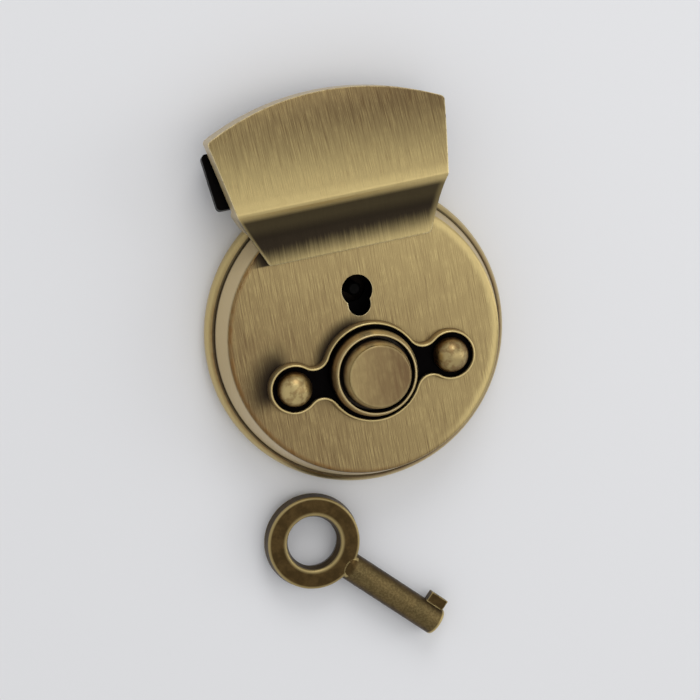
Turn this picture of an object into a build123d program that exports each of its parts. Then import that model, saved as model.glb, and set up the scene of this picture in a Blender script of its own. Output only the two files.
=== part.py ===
"""Round press lock for a bag, with its flap hasp and its barrel key.

The lock lies on its back: Z points out of its face, Y towards the hasp, and the
origin is the centre of the case's flat back. Sizes are in millimetres.
"""

import os
from math import atan2, cos, radians, sin, sqrt, tan

from build123d import *

os.makedirs("parts", exist_ok=True)

# Fits
slide_gap = 0.08  # round pieces that slide in each other, on the radius
rest_gap = 0.1  # faces that lie on each other or slide past each other
loose_gap = 0.3  # pieces that pass each other freely

# Body
face_radius = 21.0
body_height = 9.0
cover_flare = 1.25  # the cover is wider at its foot than at its face
cover_sheet = 1.2
cover_edge = 0.45
groove_width = 0.3  # dark line between cover and case
flange_bulge = 1.25  # the case's flange stands this far beyond the cover's foot
flange_rounding = 0.7  # the flange's foot is this much smaller than its bulge
flange_lip = 0.25  # the flange's rim stands this far beyond the cover's foot
case_rim_height = 3.9
case_floor = 1.4
spigot_step = 0.6  # the cover's foot is stepped in to sit inside the case
skirt_wall = 1.1
boss_wall = 1.1  # round the screw holes in case and cover

foot_radius = face_radius + cover_flare
foot_height = case_rim_height + groove_width
flange_radius = foot_radius + flange_bulge
spigot_radius = foot_radius - spigot_step
face_underside = body_height - cover_sheet

# Keyhole and key
keyhole_y = 7.2
keyhole_radius = 2.4
slot_half_width = 1.75
slot_drop = 2.2  # from the round hole's centre to the slot's end centre
shank_radius = 2.2
key_bore = 1.15
key_bore_depth = 10.0
bore_mouth = 0.25  # the bore widens this much at its mouth
bit_reach = 3.7  # from the shank's axis
bit_length = 3.0
bit_thickness = 1.7
tip_length = 0.6  # shank beyond the bit
bow_radius = 7.5
bow_hole_radius = 3.9
bow_thickness = 3.3
key_length = 24.4  # from the bow's centre to the shank's tip
key_place = (-12.7, -31.0)  # the bow's centre, where the key lies before the lock
key_turn = -45.5  # degrees from X

# Button, collar and escutcheon
button_y = -5.4
button_radius = 5.25
button_height = 5.9  # above the face
button_travel = 1.4
button_shoulder = 2.6  # height of its rounded side
button_top_edge = 0.6  # the flat top is this much smaller
button_rim = 0.15
button_wall = 1.05
button_guide = 1.6  # the button is stepped to the collar's bore up to this height above the face
guide_gap = 0.6  # between the button and the collar's bore
collar_wall = 0.85
collar_crest = 0.25  # the wall's width at the collar's crest
collar_height = 3.85  # above the face
collar_shoulder = 2.3  # height of the collar's rounded part
collar_foot = 0.8  # width and height of the flange under the cover
escutcheon_floor = 0.35
frame_height = 1.5  # above the face
frame_crest = 0.3  # the frame's wall at its crest
frame_draft = 0.25  # the wall is this much wider at its foot
frame_ring_radius = 7.43
lobe_radius = 3.6
lobe_offset = 12.35
neck_half_height = 2.3
ball_radius = 2.7
ball_rise = 0.6  # the ball's centre above the escutcheon's floor
ball_shank_radius = 1.0
ball_spread = 0.7  # the rivet's head behind the cover is this much wider
ball_spread_height = 0.5

collar_bore = button_radius + guide_gap
collar_radius = collar_bore + collar_wall

# Catch, tongue and bolt, in levels from the floor up
wire_radius = 0.5
catch_level = 3.1
tongue_y = 16.4
tongue_width = 9.0
tongue_sheet = 1.6
tongue_notch = 1.2
tongue_floor_gap = 0.3
plate_level = 3.9  # underside of the mechanism plate
plate_sheet = 0.7
bolt_sheet = 1.0
bolt_throw = 3.0
bolt_half_width = 6.2
bolt_nose_half_width = 2.4
bow_bend_y = -13.2  # centre of the catch spring's bend

bolt_level = plate_level + plate_sheet + rest_gap
leg_x = tongue_width / 2 - tongue_notch + rest_gap + wire_radius
tongue_tip = case_floor + tongue_floor_gap

# Hasp
lip_y = 13.65
lip_half_width = 12.6
lip_thickness = 1.0
crest_y = 22.05
crest_half_width = 16.35
crest_height = 12.2
shoulder_y = 33.4
shoulder_half_width = 18.4
top_y = 37.7
top_height = 8.2
front_bow = 0.45  # the front bulges this far out of its chord
hasp_depth = 4.0  # from the front's chord to the rim that lies on the flap
hasp_wall = 1.3
skirt_thickness = 2.7
skirt_level = 4.2  # lower edge of the skirt in front of the flap's end
skirt_lean = 0.2  # the skirt's back leans this much further forward than square to the rim
hasp_corner = 0.7
hasp_body_gap = 0.5  # between the case's flange and the hasp's arched underside
flap_thickness = 2.1
backing_sheet = 1.5
backing_low = 2.35  # the backing plate's edges, up the slope from below the crest
backing_high = 11.15
backing_low_half_length = 18.1
backing_high_half_length = 18.8
hasp_screw_x = 11.0
hasp_screw_radius = 0.95
hasp_screw_grip = 3.0  # in the hasp's bosses
screw_head_radius = 1.9

# The hasp's rim lies in a plane parallel to its sloping front, its Y up the slope
hasp_slope = atan2(crest_height - top_height, top_y - crest_y)
hasp_rim = Plane(
    origin=(0, crest_y - hasp_depth * sin(hasp_slope), crest_height - hasp_depth * cos(hasp_slope)),
    x_dir=(1, 0, 0),
    z_dir=(0, sin(hasp_slope), cos(hasp_slope)),
)
backing_back = hasp_rim.offset(-flap_thickness - backing_sheet)
hasp_screw_rise = (backing_low + backing_high) / 2

# Fixings of the body
case_screw_circle = 16.5
case_screw_radius = 1.0
case_screw_length = 5.6
thread_depth = 0.2  # the tapped holes are this much tighter than the clearance holes
case_boss_radius = 2.2
fixing_spacing = 32.4
fixing_hole_radius = 1.25
fixing_depth = 5.5
plate_screw_x = 7.4
plate_screw_rows = (-12.6, 17.0)
plate_screw_radius = 0.6
plate_screw_length = 2.7
pan_radius = 1.4
pan_height = 0.8
screw_slot = 0.42  # width of the slots in all screw heads
countersink = 82  # degrees


# Case: dish with a rounded flange, bosses and posts on its floor
case_bore = spigot_radius
flange_foot = flange_radius - flange_rounding
spring_pin_radius = 1.3
spring_pin_height = 2.0
ledge_width = 3.0
with BuildPart() as case:
    with BuildSketch(Plane.XZ):
        with BuildLine():
            floor_line = Line((0, 0), (flange_foot, 0))
            bulge = ThreePointArc(
                floor_line @ 1,
                (flange_radius, case_rim_height / 2),
                (foot_radius + flange_lip, case_rim_height),
            )
            Polyline(
                bulge @ 1,
                (case_bore, case_rim_height),
                (case_bore, case_floor),
                (0, case_floor),
                (0, 0),
            )
        make_face()
    revolve(axis=Axis.Z)
    post_top = plate_level - rest_gap
    leg_rest = catch_level - wire_radius
    # Post and ledge for the catch spring's bend, and a ledge under each leg
    with BuildSketch(Plane.XY.offset(case_floor)):
        with Locations((0, bow_bend_y)):
            Circle(leg_x - wire_radius - rest_gap)
    extrude(amount=post_top - case_floor)
    ledge_depth = leg_x + 2 * wire_radius
    with BuildSketch(Plane.XY.offset(case_floor)):
        with Locations((0, bow_bend_y - ledge_depth / 2)):
            Rectangle(2 * ledge_depth, ledge_depth)
        with Locations((0, tongue_y - tongue_width / 2)):
            with GridLocations(2 * (leg_x + wire_radius), 1, 2, 1):
                Rectangle(ledge_width, 2 * ledge_width / 3)
    extrude(amount=leg_rest - case_floor)
    # Pin that centres the button's spring
    with BuildSketch(Plane.XY.offset(case_floor)):
        with Locations((0, button_y)):
            Circle(spring_pin_radius)
    extrude(amount=spring_pin_height)
    # Bosses for the screws that fix the lock to the bag
    with BuildSketch(Plane.XY.offset(case_floor)):
        with GridLocations(fixing_spacing, 1, 2, 1):
            Circle(fixing_hole_radius + boss_wall)
    extrude(amount=fixing_depth + boss_wall - case_floor)
    with GridLocations(fixing_spacing, 1, 2, 1):
        with Locations(Location((0, 0, 0), (180, 0, 0))):
            Hole(fixing_hole_radius, fixing_depth)
    # Countersunk holes for the screws that hold the cover, and the key pin's hole
    with PolarLocations(case_screw_circle, 4, 45):
        with Locations(Location((0, 0, 0), (180, 0, 0))):
            CounterSinkHole(case_screw_radius, screw_head_radius, case_floor)
    with Locations((0, keyhole_y, case_floor)):
        Hole(key_bore - rest_gap, case_floor)
case.part.label = "case"
export_step(case.part, "parts/case.step")

# Front cover: flat face, flared skirt, bosses and guides below the face
guide_length = 11.0
guide_rise = 1.3  # the bolt's guides, from the keyhole's centre
guide_drop = 3.1
guide_reach = 4.7
rib_width = 1.0
pad_width = 1.4
post_radius = 0.8
post_room = 2.6  # from the bolt to the posts of its detent spring
post_x = -bolt_half_width - rest_gap - post_room
post_low_y = 1.0
post_high_y = 14.0
case_tapping_depth = case_screw_length - case_floor + loose_gap
plate_tapping_depth = plate_screw_length - plate_sheet + loose_gap
with BuildPart() as front_cover:
    with BuildSketch(Plane.XZ):
        with BuildLine():
            Polyline(
                (0, body_height),
                (face_radius, body_height),
                (foot_radius, foot_height),
                (spigot_radius, foot_height),
                (spigot_radius, case_floor),
                (spigot_radius - skirt_wall, case_floor),
                (spigot_radius - skirt_wall, foot_height),
                (face_radius - skirt_wall, face_underside),
                (0, face_underside),
                close=True,
            )
        make_face()
    revolve(axis=Axis.Z)
    rim = front_cover.edges().filter_by(GeomType.CIRCLE).filter_by_position(
        Axis.Z, body_height, body_height
    )
    fillet(rim, cover_edge)
    # Bosses for the case's screws and for the mechanism plate's screws
    with BuildSketch(Plane.XY.offset(case_floor)):
        with PolarLocations(case_screw_circle, 4, 45):
            Circle(case_boss_radius)
    extrude(amount=face_underside - case_floor)
    plate_top = plate_level + plate_sheet
    with BuildSketch(Plane.XY.offset(plate_top)):
        for row in plate_screw_rows:
            with Locations((0, row)):
                with GridLocations(2 * plate_screw_x, 1, 2, 1):
                    Circle(plate_screw_radius + boss_wall)
    extrude(amount=face_underside - plate_top)
    # Guides for the bolt: outer ribs beside it and pads above it
    guide_x = bolt_half_width + rest_gap
    guide_y = keyhole_y + guide_rise
    short_guide = guide_length / 5
    short_guides_y = (keyhole_y - guide_drop, keyhole_y + guide_reach)
    bolt_top = bolt_level + bolt_sheet
    with BuildSketch(Plane.XY.offset(bolt_level)):
        with Locations((guide_x + rib_width / 2, guide_y)):
            Rectangle(rib_width, guide_length)
        for low_y in short_guides_y:
            with Locations((-guide_x - rib_width / 2, low_y)):
                Rectangle(rib_width, short_guide)
        # posts behind the detent spring's ends
        with Locations((post_x, post_low_y), (post_x, post_high_y)):
            Circle(post_radius)
    extrude(amount=face_underside - bolt_level)
    with BuildSketch(Plane.XY.offset(bolt_top + rest_gap)):
        with Locations((guide_x - pad_width / 2, guide_y)):
            Rectangle(pad_width, guide_length)
        for low_y in short_guides_y:
            with Locations((-guide_x + pad_width / 2, low_y)):
                Rectangle(pad_width, short_guide)
    extrude(amount=face_underside - bolt_top - rest_gap)
    # Keyhole
    with BuildSketch(Plane.XY.offset(body_height)):
        with Locations((0, keyhole_y)):
            Circle(keyhole_radius)
        with Locations((0, keyhole_y - slot_drop)):
            Circle(slot_half_width)
        with Locations((0, keyhole_y - slot_drop / 2)):
            Rectangle(2 * slot_half_width, slot_drop)
    extrude(amount=-cover_sheet, mode=Mode.SUBTRACT)
    # Slot for the hasp's tongue
    with BuildSketch(Plane.XY.offset(body_height)):
        with Locations((0, tongue_y)):
            Rectangle(tongue_width + 2 * loose_gap, tongue_sheet + 2 * loose_gap)
    extrude(amount=-cover_sheet, mode=Mode.SUBTRACT)
    # Hole for the collar, holes for the ball rivets
    with Locations((0, button_y, body_height)):
        Hole(collar_radius, cover_sheet)
    with Locations((-lobe_offset, button_y, body_height), (lobe_offset, button_y, body_height)):
        Hole(ball_shank_radius, cover_sheet)
    # Tapped holes in the bosses
    with PolarLocations(case_screw_circle, 4, 45):
        with Locations(Location((0, 0, case_floor), (180, 0, 0))):
            Hole(case_screw_radius - thread_depth, case_tapping_depth)
    for row in plate_screw_rows:
        with Locations((0, row)):
            with GridLocations(2 * plate_screw_x, 1, 2, 1):
                with Locations(Location((0, 0, plate_top), (180, 0, 0))):
                    Hole(plate_screw_radius, plate_tapping_depth)
front_cover.part.label = "front_cover"
export_step(front_cover.part, "parts/front_cover.step")

# Button collar: round-shouldered ring held under the cover by its foot
button_plane = Plane.XZ.offset(-button_y)
button_axis = Axis((0, button_y, 0), (0, 0, 1))
with BuildPart() as button_collar:
    with BuildSketch(button_plane):
        with BuildLine():
            shoulder = TangentArc(
                (collar_radius, body_height + collar_height - collar_shoulder),
                (collar_bore + collar_crest, body_height + collar_height),
                tangent=(0, 1),
            )
            Polyline(
                shoulder @ 1,
                (collar_bore, body_height + collar_height),
                (collar_bore, face_underside - collar_foot),
                (collar_radius + collar_foot, face_underside - collar_foot),
                (collar_radius + collar_foot, face_underside),
                (collar_radius, face_underside),
                shoulder @ 0,
            )
        make_face()
        fillet(vertices().group_by(Axis.Y)[-1], 0.4 * collar_crest)
    revolve(axis=button_axis)
button_collar.part.label = "button_collar"
export_step(button_collar.part, "parts/button_collar.step")


def frame_outline(extra):
    """Ring and two lobes joined by hollow necks, all grown outwards by extra."""
    ring = frame_ring_radius + extra
    lobe = lobe_radius + extra
    neck = neck_half_height + extra
    # the neck's arc touches ring and lobe, and comes down to the neck's half height
    share = (lobe - neck) / (ring - neck)
    ring_part = ring**2 - neck**2
    lobe_part = lobe**2 - neck**2
    rest = lobe_part - share * ring_part - lobe_offset**2
    neck_x = (lobe_offset - sqrt(lobe_offset**2 - (share - 1) * rest)) / (1 - share)
    neck_arc = (neck_x**2 - ring_part) / (2 * (ring - neck))
    neck_y = neck + neck_arc
    on_ring = Vector(neck_x, neck_y) * (ring / (ring + neck_arc))
    on_lobe = Vector(lobe_offset, 0) + Vector(neck_x - lobe_offset, neck_y) * (lobe / (lobe + neck_arc))
    with BuildSketch() as outline:
        Circle(ring)
        for side in (-1, 1):
            with Locations((side * lobe_offset, 0)):
                Circle(lobe)
            Polygon(
                (side * on_ring.X, on_ring.Y),
                (side * on_lobe.X, on_lobe.Y),
                (side * on_lobe.X, -on_lobe.Y),
                (side * on_ring.X, -on_ring.Y),
                align=None,
            )
        with GridLocations(2 * neck_x, 2 * neck_y, 2, 2):
            Circle(neck_arc, mode=Mode.SUBTRACT)
    return outline.sketch


# Escutcheon: bow-tie frame with a sunk floor
half_crest = frame_crest / 2
with BuildPart() as escutcheon:
    with BuildSketch(Plane.XY.offset(body_height)):
        with Locations((0, button_y)):
            add(frame_outline(half_crest + frame_draft))
    with BuildSketch(Plane.XY.offset(body_height + frame_height)):
        with Locations((0, button_y)):
            add(frame_outline(half_crest))
    loft(ruled=True)
    with BuildSketch(Plane.XY.offset(body_height + escutcheon_floor)):
        with Locations((0, button_y)):
            add(frame_outline(-half_crest))
    extrude(amount=frame_height, mode=Mode.SUBTRACT)
    crest = escutcheon.edges().group_by(Axis.Z)[-1]
    fillet(crest, 0.8 * half_crest)
    with Locations((0, button_y, body_height + escutcheon_floor)):
        Hole(collar_radius, escutcheon_floor)
    with Locations((0, button_y, body_height + escutcheon_floor)):
        with GridLocations(2 * lobe_offset, 1, 2, 1):
            Hole(ball_shank_radius, escutcheon_floor)
escutcheon.part.label = "escutcheon"
export_step(escutcheon.part, "parts/escutcheon.step")

# Ball rivets: domes on shanks through escutcheon and cover, spread behind the cover
ball_floor = body_height + escutcheon_floor
ball_foot = sqrt(ball_radius**2 - ball_rise**2)
with BuildPart() as ball_rivets:
    with BuildSketch(Plane.XZ.offset(-button_y)):
        with BuildLine():
            top = (0, ball_floor + ball_rise + ball_radius)
            side = (ball_radius * cos(0.7), ball_floor + ball_rise + ball_radius * sin(0.7))
            dome = ThreePointArc(top, side, (ball_foot, ball_floor))
            Polyline(
                dome @ 1,
                (ball_shank_radius, ball_floor),
                (ball_shank_radius, face_underside),
                (ball_shank_radius + ball_spread, face_underside),
                (ball_shank_radius + ball_spread / 2, face_underside - ball_spread_height),
                (0, face_underside - ball_spread_height),
                top,
            )
        make_face()
    revolve(axis=button_axis)
    ball = ball_rivets.part
with BuildPart() as rivet_pair:
    with Locations((-lobe_offset, 0), (lobe_offset, 0)):
        add(ball)
rivet_pair.part.label = "ball_rivets"
export_step(rivet_pair.part, "parts/ball_rivets.step")

# Push button: hollow cap with a guide in the collar's bore
button_top = body_height + button_height
cone_flange_top = face_underside - collar_foot - rest_gap
button_bore = button_radius - button_wall
with BuildPart() as push_button:
    with BuildSketch(button_plane):
        with BuildLine():
            side = TangentArc(
                (button_radius, button_top - button_shoulder),
                (button_radius - button_top_edge, button_top),
                tangent=(0, 1),
            )
            Polyline(
                side @ 1,
                (0, button_top),
                (0, button_top - cover_sheet),
                (button_bore, button_top - cover_sheet),
                (button_bore, cone_flange_top),
                (collar_bore - slide_gap, cone_flange_top),
                (collar_bore - slide_gap, body_height + button_guide),
                (button_radius, body_height + button_guide),
                side @ 0,
            )
        make_face()
    revolve(axis=button_axis)
    fillet(push_button.edges().group_by(Axis.Z)[-1], button_rim)
push_button.part.label = "push_button"
export_step(push_button.part, "parts/push_button.step")

# Release cone: stem pressed in the button, flange under the collar, wedge between the legs
cone_foot = case_floor + button_travel + rest_gap
wedge_radius = leg_x - wire_radius - rest_gap
cone_flange_sheet = 1.2
cone_flange_radius = collar_bore + 1.0
cone_rise = 1.3  # the wedge widens this much up to its flange
spring_bore = 2.6
spring_pocket = 1.5  # the spring goes this far up into the button
spring_seat = cone_flange_top + spring_pocket
spring_seat_sheet = 1.0
with BuildPart() as release_cone:
    with BuildSketch(button_plane):
        with BuildLine():
            Polyline(
                (button_bore, spring_seat + spring_seat_sheet),
                (button_bore, cone_flange_top),
                (cone_flange_radius, cone_flange_top),
                (cone_flange_radius, cone_flange_top - cone_flange_sheet),
                (wedge_radius + cone_rise, cone_flange_top - cone_flange_sheet),
                (wedge_radius, catch_level + wire_radius + rest_gap),
                (wedge_radius, cone_foot),
                (spring_bore, cone_foot),
                (spring_bore, spring_seat),
                (0, spring_seat),
                (0, spring_seat + spring_seat_sheet),
                close=True,
            )
        make_face()
    revolve(axis=button_axis)
release_cone.part.label = "release_cone"
export_step(release_cone.part, "parts/release_cone.step")

# Button spring: one coil between the case's floor and the cone
coil_wire = 0.22
coil_radius = 1.95
coil_turns = 4
coil_play = 0.02
coil_height = spring_seat - case_floor - 2 * (coil_wire + coil_play)
with BuildPart() as button_spring:
    with BuildLine() as coil_path:
        Helix(
            pitch=coil_height / coil_turns,
            height=coil_height,
            radius=coil_radius,
            center=(0, button_y, case_floor + coil_wire + coil_play),
        )
    with BuildSketch(Plane(origin=coil_path.line @ 0, z_dir=coil_path.line % 0)):
        Circle(coil_wire)
    sweep(is_frenet=True)
button_spring.part.label = "button_spring"
export_step(button_spring.part, "parts/button_spring.step")

# Mechanism plate: stamped plate with holes for button, key and tongue
plate_half_width = 9.2
plate_front_y = 19.0
plate_rear_y = -14.6
plate_corner = 3.0
with BuildPart() as mechanism_plate:
    with BuildSketch(Plane.XY.offset(plate_level)):
        with Locations((0, (plate_front_y + plate_rear_y) / 2)):
            RectangleRounded(2 * plate_half_width, plate_front_y - plate_rear_y, plate_corner)
        with Locations((0, button_y)):
            Circle(cone_flange_radius + loose_gap, mode=Mode.SUBTRACT)
        with Locations((0, keyhole_y)):
            Circle(shank_radius + rest_gap, mode=Mode.SUBTRACT)
        with Locations((0, tongue_y)):
            Rectangle(tongue_width + 2 * loose_gap, tongue_sheet + 2 * loose_gap, mode=Mode.SUBTRACT)
        for row in plate_screw_rows:
            with Locations((0, row)):
                with GridLocations(2 * plate_screw_x, 1, 2, 1):
                    Circle(plate_screw_radius + rest_gap, mode=Mode.SUBTRACT)
    extrude(amount=plate_sheet)
mechanism_plate.part.label = "mechanism_plate"
export_step(mechanism_plate.part, "parts/mechanism_plate.step")

# Plate screws: slotted pan heads below the plate
with BuildPart() as plate_screw:
    with BuildSketch(Plane.XY.offset(plate_level)):
        Circle(pan_radius)
    extrude(amount=-pan_height)
    chamfer(plate_screw.edges().group_by(Axis.Z)[0], pan_height / 4)
    with BuildSketch(Plane.XY.offset(plate_level)):
        Circle(plate_screw_radius)
    extrude(amount=plate_screw_length)
    with BuildSketch(Plane.XY.offset(plate_level - pan_height)):
        Rectangle(2.2 * pan_radius, screw_slot)
    extrude(amount=pan_height / 2, mode=Mode.SUBTRACT)
with BuildPart() as plate_screws:
    for row in plate_screw_rows:
        with Locations((0, row)):
            with GridLocations(2 * plate_screw_x, 1, 2, 1):
                add(plate_screw.part)
plate_screws.part.label = "plate_screws"
export_step(plate_screws.part, "parts/plate_screws.step")

# Catch spring: hairpin of round wire, its legs in the tongue's notches
leg_overhang = 1.6  # the legs end this far beyond the tongue
leg_end_y = tongue_y + tongue_sheet / 2 + leg_overhang
with BuildPart() as catch_spring:
    with BuildLine() as hairpin:
        leg = Line((leg_x, leg_end_y, catch_level), (leg_x, bow_bend_y, catch_level))
        bend = ThreePointArc(
            leg @ 1,
            (0, bow_bend_y - leg_x, catch_level),
            (-leg_x, bow_bend_y, catch_level),
        )
        Line(bend @ 1, (-leg_x, leg_end_y, catch_level))
    with BuildSketch(Plane(origin=leg @ 0, z_dir=leg % 0)):
        Circle(wire_radius)
    sweep()
catch_spring.part.label = "catch_spring"
export_step(catch_spring.part, "parts/catch_spring.step")

# Deadbolt: fork round the key, nose for the tongue's window
bolt_foot_y = 2.4
bolt_bar_y = 11.3
bolt_head_y = tongue_y - tongue_sheet / 2 - bolt_throw - 0.15
bolt_nose_y = 15.2
bolt_corner = 1.0
nose_corner = 0.4
fork_left = -bit_reach - 0.25
fork_right = bit_reach - 0.5
talon_y = keyhole_y - bolt_throw / 2
talon_depth = 1.2
talon_height = 2.6
detent_y = 7.5
detent_depth = 0.5
detent_half_width = 0.8
with BuildPart() as deadbolt:
    with BuildSketch(Plane.XY.offset(bolt_level)) as bolt_outline:
        with Locations((0, (bolt_foot_y + bolt_head_y) / 2)):
            Rectangle(2 * bolt_half_width, bolt_head_y - bolt_foot_y)
        fillet(bolt_outline.vertices().group_by(Axis.Y)[-1], bolt_corner)
        with Locations((0, (bolt_bar_y + bolt_nose_y) / 2)):
            Rectangle(2 * bolt_nose_half_width, bolt_nose_y - bolt_bar_y)
        fillet(bolt_outline.vertices().group_by(Axis.Y)[-1], nose_corner)
        with Locations(((fork_left + fork_right) / 2, (bolt_foot_y + bolt_bar_y) / 2)):
            Rectangle(fork_right - fork_left, bolt_bar_y - bolt_foot_y, mode=Mode.SUBTRACT)
        with Locations((fork_right + talon_depth / 2, talon_y)):
            Rectangle(talon_depth, talon_height, mode=Mode.SUBTRACT)
        with Locations((-bolt_half_width, detent_y), (-bolt_half_width, detent_y - bolt_throw)):
            Polygon(
                (0, detent_half_width),
                (0, -detent_half_width),
                (detent_depth, 0),
                align=None,
                mode=Mode.SUBTRACT,
            )
    extrude(amount=bolt_sheet)
deadbolt.part.label = "deadbolt"
export_step(deadbolt.part, "parts/deadbolt.step")

# Detent spring: leaf with a bump, its ends round the cover's posts
leaf = 0.35
loop_radius = post_radius + rest_gap + leaf / 2
leaf_x = post_x + loop_radius
bump_x = -bolt_half_width + detent_depth - rest_gap - leaf / 2
bump_half_length = 2 * detent_half_width
loop_end = (loop_radius * cos(radians(150)), loop_radius * sin(radians(150)))
loop_mid = (loop_radius * cos(radians(75)), loop_radius * sin(radians(75)))
with BuildPart() as detent_spring:
    with BuildSketch(Plane.XY.offset(bolt_level + rest_gap / 2)):
        with BuildLine():
            ThreePointArc(
                (post_x + loop_end[0], post_low_y - loop_end[1]),
                (post_x + loop_mid[0], post_low_y - loop_mid[1]),
                (leaf_x, post_low_y),
            )
            Polyline(
                (leaf_x, post_low_y),
                (leaf_x, detent_y - bump_half_length),
                (bump_x, detent_y),
                (leaf_x, detent_y + bump_half_length),
                (leaf_x, post_high_y),
            )
            ThreePointArc(
                (leaf_x, post_high_y),
                (post_x + loop_mid[0], post_high_y + loop_mid[1]),
                (post_x + loop_end[0], post_high_y + loop_end[1]),
            )
        trace(line_width=leaf)
    extrude(amount=bolt_sheet - rest_gap)
detent_spring.part.label = "detent_spring"
export_step(detent_spring.part, "parts/detent_spring.step")

# Key pin: fixed in the case's floor, enters the key's hollow shank
key_pin_drop = 0.6
key_pin_tip = 0.3
with BuildPart() as key_pin:
    with BuildSketch(Plane.XY):
        with Locations((0, keyhole_y)):
            Circle(key_bore - rest_gap)
    extrude(amount=face_underside - key_pin_drop)
    chamfer(key_pin.edges().group_by(Axis.Z)[-1], key_pin_tip)
key_pin.part.label = "key_pin"
export_step(key_pin.part, "parts/key_pin.step")


def countersunk_screw(shank, length):
    """Screw with its flat head at the origin and its shank along Z."""
    head_depth = (screw_head_radius - shank) / tan(radians(countersink / 2))
    with BuildPart() as screw:
        with BuildSketch(Plane.XZ):
            Polygon(
                (0, 0),
                (screw_head_radius, 0),
                (shank, head_depth),
                (shank, length),
                (0, length),
                align=None,
            )
        revolve(axis=Axis.Z)
        with BuildSketch(Plane.XY):
            Rectangle(screw_head_radius, screw_slot)
            Rectangle(screw_slot, screw_head_radius)
        extrude(amount=head_depth / 2, mode=Mode.SUBTRACT)
    return screw.part


# Case screws: countersunk in the case's back
with BuildPart() as case_screws:
    with PolarLocations(case_screw_circle, 4, 45):
        add(countersunk_screw(case_screw_radius - thread_depth, case_screw_length))
case_screws.part.label = "case_screws"
export_step(case_screws.part, "parts/case_screws.step")

# Hasp plate: cast shell, hollow behind, with an overhanging lip and a skirt
lip_level = body_height + rest_gap
lip_top = lip_level + lip_thickness
bend = radians(45)  # the nose rises from the lip through this angle
arc_radius = (crest_height - lip_top) / (1 - cos(bend))
arc_start_y = crest_y - arc_radius * sin(bend)
skirt_step = 0.5
skirt_splay = 2.0  # the skirt's front leans this much toward its root
skirt_rounding = 0.8
rim_ledge = 0.6
skirt_y = crest_y + skirt_step
skirt_front_y = skirt_y - skirt_thickness
skirt_root_y = skirt_front_y - skirt_splay
hollow_y = skirt_y + rim_ledge
hollow_end_y = top_y - hasp_wall
middle_y = (crest_y + top_y) / 2
foot_top = lip_level + 0.55
foot_end_y = 21.3
rivet_x = 3.0
rivet_y = 20.0
rivet_radius = 0.95
rivet_tail_radius = 0.5
rivet_tail_length = 0.6
foot_start_y = tongue_y - tongue_sheet / 2


def slope_level(y, depth):
    """Level at y of the plane that lies depth below the hasp front's chord."""
    return crest_height - (y - crest_y) * tan(hasp_slope) - depth / cos(hasp_slope)


skirt_drop = slope_level(skirt_y, hasp_depth) - skirt_level
skirt_back_y = skirt_y - skirt_drop * tan(hasp_slope) - skirt_lean
foot_rounding = min(skirt_rounding, (skirt_back_y - skirt_front_y) / 1.7)
with BuildPart() as hasp_hollow:
    with BuildSketch(Plane.YZ):
        with BuildLine():
            inner_front = ThreePointArc(
                (hollow_y, slope_level(hollow_y, hasp_wall)),
                (middle_y, slope_level(middle_y, hasp_wall - front_bow)),
                (hollow_end_y, slope_level(hollow_end_y, hasp_wall)),
            )
            Polyline(
                inner_front @ 1,
                (hollow_end_y, 0),
                (hollow_y, 0),
                inner_front @ 0,
            )
        make_face()
    extrude(amount=top_y, both=True)
    with BuildSketch(Plane.XY) as hollow_plan:
        with BuildLine():
            plan_top = ThreePointArc(
                (-shoulder_half_width + hasp_wall, shoulder_y - hasp_wall),
                (0, top_y - hasp_wall),
                (shoulder_half_width - hasp_wall, shoulder_y - hasp_wall),
            )
            Polyline(
                plan_top @ 1,
                (crest_half_width - hasp_wall, crest_y),
                (-crest_half_width + hasp_wall, crest_y),
                plan_top @ 0,
            )
        make_face()
        Circle(flange_radius + hasp_body_gap + hasp_wall, mode=Mode.SUBTRACT)
    extrude(amount=top_y, mode=Mode.INTERSECT)
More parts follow.
